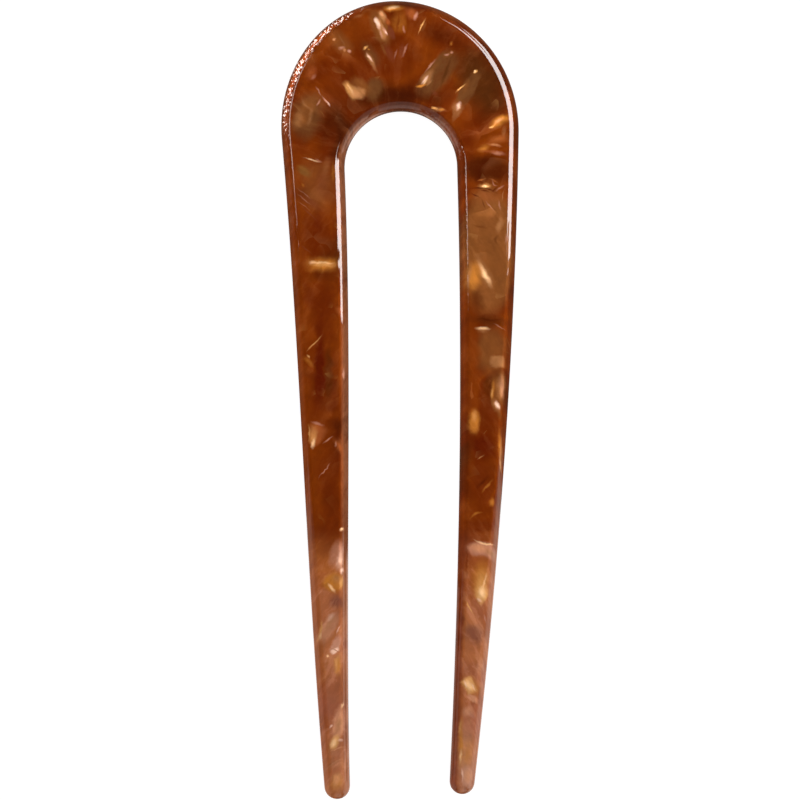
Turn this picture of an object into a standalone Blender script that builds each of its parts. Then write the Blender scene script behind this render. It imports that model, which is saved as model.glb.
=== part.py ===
"""A French hair pin: a U-shaped fork with a broad round crown and tapered prongs, cut from one sheet.

It lies on its back face. +X is to the right as seen from the front, +Y runs to the crown, and +Z
comes out of the front face. The origin is the middle of its length and width, on the back face.
"""

import math
from typing import NamedTuple

import bmesh
import bpy
from mathutils import Vector

# Driving sizes, in metres
LENGTH = 0.120
SHEET_THICKNESS = 0.004
EDGE_RADIUS = 0.0015

# The crown is two quarter ellipses that meet at its top, which is a little left of the middle
# line. Each side is widest at its own drop below the top, because a pin is filed by hand.
CROWN_HALF_WIDTH = 0.01787
CROWN_TOP_SHIFT = -0.0007
LEFT_CROWN_DROP = 0.0189
RIGHT_CROWN_DROP = 0.0196

# The throat is the round arch between the prongs. Its drop is measured from the crown's top to
# the arch's centre.
THROAT_RADIUS = 0.00848
THROAT_DROP = 0.0250
THROAT_SHIFT = 0.00013

# Each prong ends in a half round. Its place across is measured from the middle line to the half
# round's centre.
LEFT_TIP_RADIUS = 0.00191
LEFT_TIP_OFFSET = 0.00946
RIGHT_TIP_RADIUS = 0.00187
RIGHT_TIP_OFFSET = 0.00936
RIGHT_PRONG_SHORTER = 0.00074

# How far each edge of a prong leans inwards on its way down, in degrees, first where it leaves
# the crown or the throat and then where it meets the tip
LEFT_OUTER_LEANS = (4.97, 4.87)
LEFT_INNER_LEANS = (2.40, 1.49)
RIGHT_OUTER_LEANS = (0.92, 6.45)
RIGHT_INNER_LEANS = (-1.70, 2.79)

# How finely round stretches are drawn
CROWN_STEPS = 30
THROAT_STEPS = 18
PRONG_STEPS = 24
TIP_STEPS = 14
EDGE_STEPS = 6

# The pearl acetate's look
ACETATE_COLOUR = (0.25, 0.085, 0.033, 1.0)
ACETATE_ROUGHNESS = 0.18
ACETATE_METALLIC = 0.15


class Half(NamedTuple):
    """What shapes one half of the outline, as drawn for a prong at +X."""

    crown_top: Vector
    crown_drop: float
    throat_centre: Vector
    tip_centre: Vector
    tip_radius: float
    outer_leans: tuple
    inner_leans: tuple


def direction(lean):
    """The way down an edge that leans inwards by this angle."""
    return Vector((-math.sin(lean), -math.cos(lean)))


def arc(centre, across, up, first, last, steps):
    """Points on an ellipse from one angle to another, both ends included."""
    angles = (first + (last - first) * i / steps for i in range(steps + 1))
    return [centre + Vector((across * math.cos(a), up * math.sin(a))) for a in angles]


def bowed_edge(start, start_lean, end, end_lean):
    """The points between two ends of a smooth edge that has these leans at its ends."""
    reach = (end - start).length
    start_pull = direction(start_lean) * reach
    end_pull = direction(end_lean) * reach
    points = []
    for i in range(1, PRONG_STEPS):
        t = i / PRONG_STEPS
        points.append(
            start * (2 * t**3 - 3 * t**2 + 1)
            + start_pull * (t**3 - 2 * t**2 + t)
            + end * (3 * t**2 - 2 * t**3)
            + end_pull * (t**3 - t**2)
        )
    return points


def half_outline(half):
    """The outline from the crown's top round the prong's tip to the throat's top."""
    outer_root, outer_tip = (math.radians(lean) for lean in half.outer_leans)
    inner_root, inner_tip = (math.radians(lean) for lean in half.inner_leans)
    crown_centre = half.crown_top - Vector((0.0, half.crown_drop))
    across = CROWN_HALF_WIDTH - crown_centre.x
    up = half.crown_drop
    crown_end = math.atan2(-up * math.sin(outer_root), across * math.cos(outer_root))
    crown = arc(crown_centre, across, up, math.pi / 2, crown_end, CROWN_STEPS)
    radius = half.tip_radius
    tip = arc(half.tip_centre, radius, radius, -outer_tip, -math.pi - inner_tip, TIP_STEPS)
    radius = THROAT_RADIUS
    throat = arc(half.throat_centre, radius, radius, -inner_root, math.pi / 2, THROAT_STEPS)
    outer_edge = bowed_edge(crown[-1], outer_root, tip[0], outer_tip)
    inner_edge = bowed_edge(throat[0], inner_root, tip[-1], inner_tip)
    return crown + outer_edge + tip + inner_edge[::-1] + throat


def pin_outline():
    """The pin's outline as seen from the front, running clockwise from the crown's top."""
    top = LENGTH / 2
    right = Half(
        crown_top=Vector((CROWN_TOP_SHIFT, top)),
        crown_drop=RIGHT_CROWN_DROP,
        throat_centre=Vector((THROAT_SHIFT, top - THROAT_DROP)),
        tip_centre=Vector((RIGHT_TIP_OFFSET, RIGHT_PRONG_SHORTER + RIGHT_TIP_RADIUS - top)),
        tip_radius=RIGHT_TIP_RADIUS,
        outer_leans=RIGHT_OUTER_LEANS,
        inner_leans=RIGHT_INNER_LEANS,
    )
    left = Half(
        crown_top=Vector((-CROWN_TOP_SHIFT, top)),
        crown_drop=LEFT_CROWN_DROP,
        throat_centre=Vector((-THROAT_SHIFT, top - THROAT_DROP)),
        tip_centre=Vector((LEFT_TIP_OFFSET, LEFT_TIP_RADIUS - top)),
        tip_radius=LEFT_TIP_RADIUS,
        outer_leans=LEFT_OUTER_LEANS,
        inner_leans=LEFT_INNER_LEANS,
    )
    mirrored = [Vector((-p.x, p.y)) for p in reversed(half_outline(left))]
    return half_outline(right) + mirrored[1:-1]


def acetate_material():
    """The pearl acetate as one even finish."""
    material = bpy.data.materials.new("pearl_acetate")
    material.use_nodes = True
    finish = material.node_tree.nodes["Principled BSDF"].inputs
    finish["Base Color"].default_value = ACETATE_COLOUR
    finish["Roughness"].default_value = ACETATE_ROUGHNESS
    finish["Metallic"].default_value = ACETATE_METALLIC
    return material


def make_pin():
    """The sheet cut to the outline, with both of its rims rounded."""
    sheet = bmesh.new()
    rim = [sheet.verts.new((p.x, p.y, 0.0)) for p in pin_outline()]
    back = sheet.faces.new(rim)
    raised = bmesh.ops.extrude_face_region(sheet, geom=[back])["geom"]
    raised_points = [v for v in raised if isinstance(v, bmesh.types.BMVert)]
    bmesh.ops.translate(sheet, verts=raised_points, vec=(0.0, 0.0, SHEET_THICKNESS))
    bmesh.ops.recalc_face_normals(sheet, faces=sheet.faces)
    mesh = bpy.data.meshes.new("pin_body")
    sheet.to_mesh(mesh)
    sheet.free()
    mesh.materials.append(acetate_material())
    mesh.shade_smooth()
    pin = bpy.data.objects.new("pin_body", mesh)
    bpy.context.scene.collection.objects.link(pin)
    rounding = pin.modifiers.new("rounded_rims", "BEVEL")
    rounding.width = EDGE_RADIUS
    rounding.segments = EDGE_STEPS
    rounding.limit_method = "ANGLE"
    rounding.angle_limit = math.radians(60.0)
    rounding.use_clamp_overlap = False
    return pin


def main():
    for thing in list(bpy.data.objects):
        bpy.data.objects.remove(thing)
    make_pin()


main()
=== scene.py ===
"""The look of a French hair pin: pearl acetate, polished, lying on a white table."""

import math
from typing import NamedTuple

import bpy
import numpy as np
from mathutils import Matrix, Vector


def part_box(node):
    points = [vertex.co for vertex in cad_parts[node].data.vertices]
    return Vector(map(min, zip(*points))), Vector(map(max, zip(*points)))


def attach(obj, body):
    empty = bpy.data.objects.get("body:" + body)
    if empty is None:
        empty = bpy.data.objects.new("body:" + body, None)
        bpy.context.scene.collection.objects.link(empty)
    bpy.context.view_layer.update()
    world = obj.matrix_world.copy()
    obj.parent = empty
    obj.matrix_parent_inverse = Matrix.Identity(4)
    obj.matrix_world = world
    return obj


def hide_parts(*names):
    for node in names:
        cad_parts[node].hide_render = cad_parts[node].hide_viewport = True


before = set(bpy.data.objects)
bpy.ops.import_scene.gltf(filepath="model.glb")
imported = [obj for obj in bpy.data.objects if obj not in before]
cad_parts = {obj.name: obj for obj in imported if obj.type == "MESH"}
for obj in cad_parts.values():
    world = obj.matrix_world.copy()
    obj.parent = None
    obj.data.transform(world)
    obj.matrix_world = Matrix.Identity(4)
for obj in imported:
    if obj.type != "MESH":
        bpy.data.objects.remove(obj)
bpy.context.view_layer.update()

# The pin's sizes, in metres. The length, width and thickness come from the solid. A pair of leans
# is how far an edge leans inwards at its upper end and at the tip, in degrees.
CAD_LOW, CAD_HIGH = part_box("pin_body")
LENGTH = CAD_HIGH.y * 2
CROWN_HALF_WIDTH = CAD_HIGH.x
SHEET_THICKNESS = CAD_HIGH.z
EDGE_RADIUS = 0.0015
CROWN_TOP_SHIFT = -0.0007
LEFT_CROWN_DROP = 0.0189
RIGHT_CROWN_DROP = 0.0196
THROAT_RADIUS = 0.00848
THROAT_DROP = 0.0250
THROAT_SHIFT = 0.00013
LEFT_TIP_RADIUS = 0.00191
LEFT_TIP_OFFSET = 0.00946
RIGHT_TIP_RADIUS = 0.00187
RIGHT_TIP_OFFSET = 0.00936
RIGHT_PRONG_SHORTER = 0.00074
LEFT_OUTER_LEANS = (4.97, 4.87)
LEFT_INNER_LEANS = (2.40, 1.49)
RIGHT_OUTER_LEANS = (0.92, 6.45)
RIGHT_INNER_LEANS = (-1.70, 2.79)

# How finely the surface is drawn. The two edges of each half have the same number of points.
ARCH_STEPS = 100
PRONG_STEPS = 150
TIP_STEPS = 40
RIM_STEPS = 10
FACE_COLUMNS = 12

# What the photograph's frame takes in at the pin, and the lens
VIEW_WIDTH = 0.1205
LENS_MM = 120.0
SENSOR_MM = 36.0


class Half(NamedTuple):
    """What shapes one half of the outline, as drawn for a prong at +X."""

    crown_top: Vector
    crown_drop: float
    throat_centre: Vector
    tip_centre: Vector
    tip_radius: float
    outer_leans: tuple
    inner_leans: tuple


def direction(lean):
    """The way down an edge that leans inwards by this angle."""
    return Vector((-math.sin(lean), -math.cos(lean)))


def arc(centre, across, up, first, last, steps):
    """Points on an ellipse from one angle to another, both ends included."""
    angles = (first + (last - first) * i / steps for i in range(steps + 1))
    return [centre + Vector((across * math.cos(a), up * math.sin(a))) for a in angles]


def bowed_edge(start, start_lean, end, end_lean):
    """The points between two ends of a smooth edge that has these leans at its ends."""
    reach = (end - start).length
    start_pull = direction(start_lean) * reach
    end_pull = direction(end_lean) * reach
    points = []
    for i in range(1, PRONG_STEPS):
        t = i / PRONG_STEPS
        points.append(
            start * (2 * t**3 - 3 * t**2 + 1)
            + start_pull * (t**3 - 2 * t**2 + t)
            + end * (3 * t**2 - 2 * t**3)
            + end_pull * (t**3 - t**2)
        )
    return points


def half_outline(half):
    """The outline from the crown's top round the prong's tip to the throat's top."""
    outer_root, outer_tip = (math.radians(lean) for lean in half.outer_leans)
    inner_root, inner_tip = (math.radians(lean) for lean in half.inner_leans)
    crown_centre = half.crown_top - Vector((0.0, half.crown_drop))
    across = CROWN_HALF_WIDTH - crown_centre.x
    up = half.crown_drop
    crown_end = math.atan2(-up * math.sin(outer_root), across * math.cos(outer_root))
    crown = arc(crown_centre, across, up, math.pi / 2, crown_end, ARCH_STEPS)
    radius = half.tip_radius
    tip = arc(half.tip_centre, radius, radius, -outer_tip, -math.pi - inner_tip, TIP_STEPS)
    radius = THROAT_RADIUS
    throat = arc(half.throat_centre, radius, radius, -inner_root, math.pi / 2, ARCH_STEPS)
    outer_edge = bowed_edge(crown[-1], outer_root, tip[0], outer_tip)
    inner_edge = bowed_edge(throat[0], inner_root, tip[-1], inner_tip)
    return crown + outer_edge + tip + inner_edge[::-1] + throat


def pin_outline():
    """The pin's outline as seen from the front, running clockwise from the crown's top."""
    top = LENGTH / 2
    right = Half(
        crown_top=Vector((CROWN_TOP_SHIFT, top)),
        crown_drop=RIGHT_CROWN_DROP,
        throat_centre=Vector((THROAT_SHIFT, top - THROAT_DROP)),
        tip_centre=Vector((RIGHT_TIP_OFFSET, RIGHT_PRONG_SHORTER + RIGHT_TIP_RADIUS - top)),
        tip_radius=RIGHT_TIP_RADIUS,
        outer_leans=RIGHT_OUTER_LEANS,
        inner_leans=RIGHT_INNER_LEANS,
    )
    left = Half(
        crown_top=Vector((-CROWN_TOP_SHIFT, top)),
        crown_drop=LEFT_CROWN_DROP,
        throat_centre=Vector((-THROAT_SHIFT, top - THROAT_DROP)),
        tip_centre=Vector((LEFT_TIP_OFFSET, LEFT_TIP_RADIUS - top)),
        tip_radius=LEFT_TIP_RADIUS,
        outer_leans=LEFT_OUTER_LEANS,
        inner_leans=LEFT_INNER_LEANS,
    )
    mirrored = [Vector((-p.x, p.y)) for p in reversed(half_outline(left))]
    return np.array(half_outline(right) + mirrored[1:-1])


def outward_normals(outline):
    """The unit way out of the sheet at each point of a clockwise outline."""
    travel = np.roll(outline, -1, axis=0) - np.roll(outline, 1, axis=0)
    normals = np.stack([-travel[:, 1], travel[:, 0]], axis=1)
    return normals / np.linalg.norm(normals, axis=1, keepdims=True)


def rim_profile():
    """How the edge curves from the back face to the front one: each level's inset and height,
    and the angle at which it faces up."""
    turn = np.linspace(0.0, math.pi / 2, RIM_STEPS + 1)
    back = [(EDGE_RADIUS, a - math.pi / 2) for a in turn]
    front = [(SHEET_THICKNESS - EDGE_RADIUS, a) for a in turn]
    return [
        (EDGE_RADIUS * (1 - math.cos(a)), middle + EDGE_RADIUS * math.sin(a), a)
        for middle, a in back + front
    ]


def face_ladder(ring, start, top_side):
    """Rungs across a flat face from its outer edge to its inner one, along the U from one tip to
    the other. Returns the new points and the faces. Ring is the face's edge, and start says where
    the ring's points and the next new ones begin among the mesh's."""
    count = len(ring)
    tip_row = count // 4
    points = []
    rows = []
    first_new = start["next"]
    for row in range(tip_row, -tip_row - 1, -1):
        outer = row % count
        inner = (count // 2 - row) % count
        if outer == inner:
            rows.append([start["ring"] + outer])
            continue
        share = np.arange(1, FACE_COLUMNS)[:, None] / FACE_COLUMNS
        between = ring[outer] * (1 - share) + ring[inner] * share
        new = list(range(first_new + len(points), first_new + len(points) + len(between)))
        points += [tuple(p) for p in between]
        rows.append([start["ring"] + outer] + new + [start["ring"] + inner])
    faces = []
    for a, b in zip(rows, rows[1:]):
        for i in range(FACE_COLUMNS):
            corners = [a[min(i, len(a) - 1)], a[min(i + 1, len(a) - 1)]]
            corners += [b[min(i + 1, len(b) - 1)], b[min(i, len(b) - 1)]]
            corners = list(dict.fromkeys(corners))
            faces.append(corners[::-1] if top_side else corners)
    return points, faces


def pin_mesh():
    """The pin's whole skin: a rounded rim all the way round, and a front and a back face."""
    outline = pin_outline()
    outward = outward_normals(outline)
    count = len(outline)
    points, normals = [], []
    for inset, height, angle in rim_profile():
        level = outline - outward * inset
        points += [(x, y, height) for x, y in level]
        normals += [(x * math.cos(angle), y * math.cos(angle), math.sin(angle)) for x, y in outward]
    levels = len(points) // count
    faces = []
    for level in range(levels - 1):
        for i in range(count):
            j = (i + 1) % count
            low, high = level * count, (level + 1) * count
            faces.append([low + j, low + i, high + i, high + j])
    for level, facing in ((0, -1.0), (levels - 1, 1.0)):
        ring = np.array(points[level * count : (level + 1) * count])
        start = {"ring": level * count, "next": len(points)}
        new_points, new_faces = face_ladder(ring, start, facing > 0)
        points += new_points
        normals += [(0.0, 0.0, facing)] * len(new_points)
        faces += new_faces
    mesh = bpy.data.meshes.new("pearl_pin")
    mesh.from_pydata(points, [], faces)
    mesh.shade_smooth()
    mesh.normals_split_custom_set_from_vertices(normals)
    return mesh


MM_PER_METRE = 1000.0

# Directions on the pin
RIGHTWARDS = (1.0, 0.0, 0.0)
LEFTWARDS = (-1.0, 0.0, 0.0)
CROWNWARDS = (0.0, 1.0, 0.0)
FRONTWARDS = (0.0, 0.0, 1.0)

# Between what places the look changes along the pin, in millimetres from its middle
CROWN_FROM = (32.0, 38.0)
LOWER_FROM = (-17.0, -27.0)
GLOW_FROM = (-30.0, -12.0)
CROWN_FILED_FROM = (36.0, 43.0)
PRONGS_FILED_FROM = (4.0, 24.0)
OUTER_RIM_DULL_FROM = (36.0, 30.0)
LOW_RIMS_DULL_FROM = (-8.0, -22.0)

# The same across the pin
LEFT_HALF_FROM = (3.0, -3.0)
OUTSIDE_FROM = (3.0, -2.0)

# The pearl's sizes, in millimetres. A scale is about how often a noise changes in a millimetre.
PLATE_SIZE = 3.4
GLINT_SIZE = 1.5
SWIRL_REACH = 7.0
RIPPLE_REACH = 1.6
SWIRL_SCALE = 0.12
PLATE_PATCH_SCALE = 0.16
GLINT_PATCH_SCALE = 0.21
RIPPLE_SCALE = 0.5
FINE_SCALE = 1.1

# How far the swirls move sideways and up for each millimetre of depth
SLANT_SIDEWAYS = 0.6
SLANT_UP = 1.1

# Between what depths the plates and glints come up, and the front's share of them
BURIED_FROM = (1.0, 2.2)
FRONT_SHARE = 0.14

# The silk changes fast across its streaks and slowly along them
FAN_SPREAD = 14.0
FAN_STRETCH = 0.16
FAN_SCALE = 0.7
ACROSS_SILK = (0.87, 0.50, 0.0)
ALONG_SILK = (-0.08, 0.14, 0.0)
SIDES_APART = 20.0
SILK_SCALE = 0.6

# How strong the silk is, as a paler tint that is painted sheen and as light and dark streaks that
# are partly painted sheen, above the lower prongs and in them
UPPER_SHEEN = 0.06
LOWER_SHEEN = 0.38
UPPER_STREAKS = 0.22
LOWER_STREAKS = 0.32

# How much of the rims' painted shade and painted glow shows, and what the left prong and the lower
# pin have of it
LOW_RIM_SHADE = 0.85
LEFT_PRONG_SHADE = 0.3
LOWER_GLOW = 0.25
GAP_RIM_GLOW = 0.88
OUTER_RIM_GLOW = 0.20
TOP_RIM_GLOW = 0.35
THROAT_RIM_GLOW = 0.22

# How far a flake's edge wanders, in waves and in small frays, in millimetres
EDGE_WAVES = 0.7
EDGE_FRAYS = 0.35

# How far the surface leans over in a flake and in a plate
FLAKE_LEAN = 0.25
PLATE_LEAN = 0.8

# The skin: how often its slow waves come, how deep they are and how wide a file's facets, in
# millimetres, how far the facets lean, how much of them the prongs' rims have, and the gloss
POLISH_WAVE_SCALE = 0.22
POLISH_WAVE_DEPTH = 0.03
FILE_FACET_SIZE = 0.18
FILE_FACET_LEAN = 0.75
GAP_FILING = 0.22
OUTER_FILING = 0.32
COAT_ROUGHNESS = 0.03
DULL_RIM_GLOSS = 0.4

# The acetate's tints, as linear colours
DEEP = (0.068, 0.009, 0.001)
RUST = (0.162, 0.021, 0.001)
AMBER = (0.238, 0.041, 0.002)
WINE = (0.118, 0.01, 0.001)
COCOA = (0.115, 0.021, 0.002)
UMBER = (0.09, 0.025, 0.004)
BARK = (0.16, 0.056, 0.015)
PLUM = (0.205, 0.048, 0.018)
CLAY = (0.345, 0.084, 0.02)
TAN = (0.43, 0.122, 0.028)
ROSY_TAN = (0.385, 0.1, 0.04)
PEACH = (0.55, 0.232, 0.115)
FAWN = (0.25, 0.08, 0.018)
CARAMEL = (0.4, 0.17, 0.06)
HONEY = (0.48, 0.17, 0.025)
BRONZE = (0.23, 0.1, 0.022)
SALMON = (0.68, 0.3, 0.12)
# the rims' painted glow
GLOW = (0.37, 0.13, 0.055)
ROSE = (0.52, 0.24, 0.15)
# the palest tints and gold serve the pearl's painted highlights and glints as well as its pale
# flakes
PALE_ROSE = (0.85, 0.56, 0.42)
GOLD = (0.62, 0.3, 0.09)
PALE_GOLD = (0.9, 0.58, 0.3)

# Where the pin's middle is in the photograph, in its pixels, and how many of them a millimetre has
PHOTO_MIDDLE = (399.77, 399.6)
PHOTO_SCALE = 6.6384

# How far a flake reaches past its chart, as its edge is soft, and how narrow its tail may get
PATCH_REACH = 1.2
SHARD_REACH_ALONG = 1.08
SHARD_REACH_ACROSS = 1.25
LEAST_WIDTH = 0.05


# The bright flakes are the pearl's own pattern, and partly painted highlights and glints on it.
class Flake(NamedTuple):
    """A patch of one tint in the acetate. Its place and its half length and half width are in
    millimetres, its length runs along its angle in degrees, and it is full at its head. Soft is
    how much of it its edge takes up, fade how far it dims towards its tail, square how boxy it is,
    taper how much it widens towards its head, and bend how far it bows, in half widths."""

    x: float
    y: float
    angle: float
    long: float
    wide: float
    tint: tuple
    strength: float
    soft: float = 1.0
    fade: float = 0.0
    square: float = 0.0
    taper: float = 0.0
    bend: float = 0.0


def on_pin(across, down):
    """A place in the photograph, in its pixels, as millimetres from the pin's middle."""
    middle_across, middle_down = PHOTO_MIDDLE
    return (across - middle_across) / PHOTO_SCALE, (middle_down - down) / PHOTO_SCALE


def patch(across, down, angle, long, wide, *look, **shape):
    """A flake charted by its middle, its angle, its half length and its half width. A chart is in
    the photograph's pixels, and good to a tenth of a millimetre."""
    x, y = on_pin(across, down)
    long = PATCH_REACH * long / PHOTO_SCALE
    wide = PATCH_REACH * wide / PHOTO_SCALE
    return Flake(round(x, 1), round(y, 1), angle, round(long, 1), round(wide, 1), *look, **shape)


def shard(tail_across, tail_down, head_across, head_down, wide, *look, **shape):
    """A flake charted by its tail, its head and its half width."""
    tail = on_pin(tail_across, tail_down)
    head = on_pin(head_across, head_down)
    x, y = ((a + b) / 2 for a, b in zip(tail, head))
    angle = round(math.degrees(math.atan2(head[1] - tail[1], head[0] - tail[0])))
    long = SHARD_REACH_ALONG * math.dist(tail, head) / 2
    wide = SHARD_REACH_ACROSS * wide / PHOTO_SCALE
    return Flake(round(x, 1), round(y, 1), angle, round(long, 1), round(wide, 2), *look, **shape)


# Broad tones under the pearl; the amber ones along the rims are partly a painted glow of light
# coming into the acetate
TONES = (
    # crown
    patch(335, 42, 38, 60, 24, AMBER, 0.85, 0.8),
    patch(330, 66, 42, 34, 15, RUST, 0.85, 0.9),
    patch(352, 78, 20, 38, 26, RUST, 0.9, 0.9),
    patch(400, 96, 0, 56, 15, DEEP, 0.95, 0.9),
    patch(388, 62, 0, 40, 24, RUST, 0.7, 0.9),
    patch(376, 92, 70, 16, 10, UMBER, 0.8),
    patch(478, 82, -62, 48, 26, UMBER, 0.85, 0.8),
    patch(440, 34, -28, 36, 18, RUST, 0.8, 0.9),
    patch(440, 38, -28, 26, 12, DEEP, 0.55, 0.9),
    patch(470, 40, -45, 24, 10, RUST, 0.7),
    patch(498, 138, 75, 28, 18, AMBER, 0.8, 0.9),
    patch(402, 20, 90, 18, 9, AMBER, 0.9, 0.9),
    patch(300, 138, 85, 26, 18, RUST, 0.8),
    patch(304, 88, 75, 22, 8, AMBER, 0.8),
    patch(308, 117, 75, 26, 17, BARK, 0.9, 0.6),
    patch(327, 134, 60, 18, 15, DEEP, 0.5),
    # left prong, from the crown down
    patch(316, 186, -85, 32, 22, FAWN, 0.55, 0.7),
    patch(329, 196, 80, 9, 6, RUST, 0.5),
    patch(318, 238, 90, 28, 24, RUST, 0.95, 0.8),
    patch(322, 276, 0, 18, 7, COCOA, 0.7),
    patch(302, 310, -86, 70, 8, AMBER, 0.8),
    patch(324, 300, 90, 28, 14, RUST, 0.9, 0.8),
    patch(337, 300, 60, 8, 6, AMBER, 0.6),
    patch(320, 370, 90, 60, 7, WINE, 0.95, 0.8),
    patch(329, 374, 90, 30, 5, COCOA, 0.9, 0.6),
    patch(340, 372, 90, 60, 6, AMBER, 0.8, 0.9),
    patch(304, 400, -86, 60, 8, AMBER, 0.7),
    patch(330, 414, 5, 16, 7, AMBER, 0.7),
    patch(330, 485, -88, 44, 13, RUST, 0.8, 0.8),
    patch(322, 440, 88, 50, 16, AMBER, 0.55, 0.9),
    patch(314, 470, -86, 46, 7, AMBER, 0.6),
    # right prong, from the crown down
    patch(487, 170, 0, 28, 16, DEEP, 0.85, 0.6),
    patch(488, 250, 90, 64, 26, FAWN, 0.95, 0.35),
    patch(487, 198, 0, 20, 8, CLAY, 0.4),
    patch(476, 302, 80, 16, 10, COCOA, 0.7),
    patch(486, 320, -4, 24, 6, COCOA, 0.85, 0.8),
    patch(490, 350, 88, 26, 18, FAWN, 0.85, 0.6),
    patch(472, 372, 90, 60, 9, AMBER, 0.8, 0.8),
    patch(484, 420, 88, 44, 12, RUST, 0.7, 0.9),
    patch(482, 447, 0, 18, 14, WINE, 0.85, 0.8),
    patch(499, 446, -84, 30, 6, AMBER, 0.9),
    patch(482, 492, 85, 34, 16, RUST, 0.8),
    patch(482, 524, 0, 20, 10, RUST, 0.7, 0.8),
    patch(460, 628, 88, 30, 4, RUST, 0.8),
    patch(475, 632, -5, 15, 12, PLUM, 0.85, 0.7),
    patch(337, 600, 8, 9, 8, PLUM, 0.85, 0.7),
    patch(334, 686, 80, 16, 12, CLAY, 0.5),
    patch(337, 765, 85, 34, 12, PEACH, 0.5),
    patch(465, 755, 88, 46, 13, PEACH, 0.9),
)
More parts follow.
